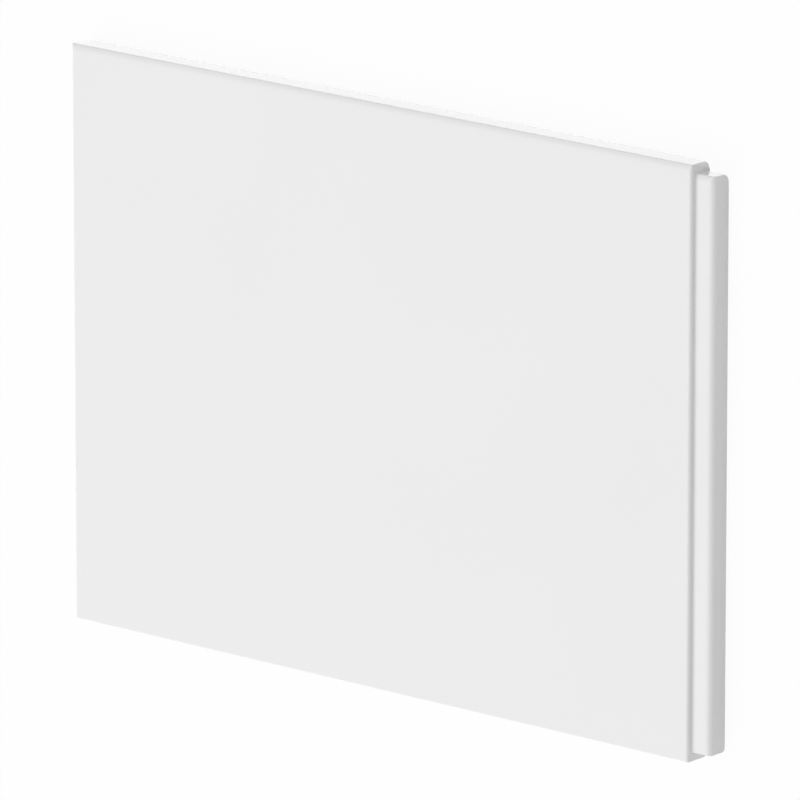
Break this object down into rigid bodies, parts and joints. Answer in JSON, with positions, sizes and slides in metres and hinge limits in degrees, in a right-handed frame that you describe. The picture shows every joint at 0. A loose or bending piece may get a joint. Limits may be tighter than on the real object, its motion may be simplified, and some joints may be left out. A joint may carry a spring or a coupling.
{
  "type": "bath end panel",
  "caption": "Flat white moulded bath end panel with returned edges, an open back inside a lip, and a set-back lap strip along one edge for the neighbouring panel.",
  "frame": {"origin": "on the floor, under the middle of the panel's bounding box, as the panel lies on its back", "axes": "+X along the width towards the lap strip, +Y along the height towards the bath rim, +Z out of the face"},
  "size_m": [0.7, 0.51, 0.0285],
  "materials": {
    "acrylic": "gloss white acrylic, moulded from sheet"
  },
  "bodies": {
    "root": {"bath_panel": "acrylic"}
  },
  "joints": []
}
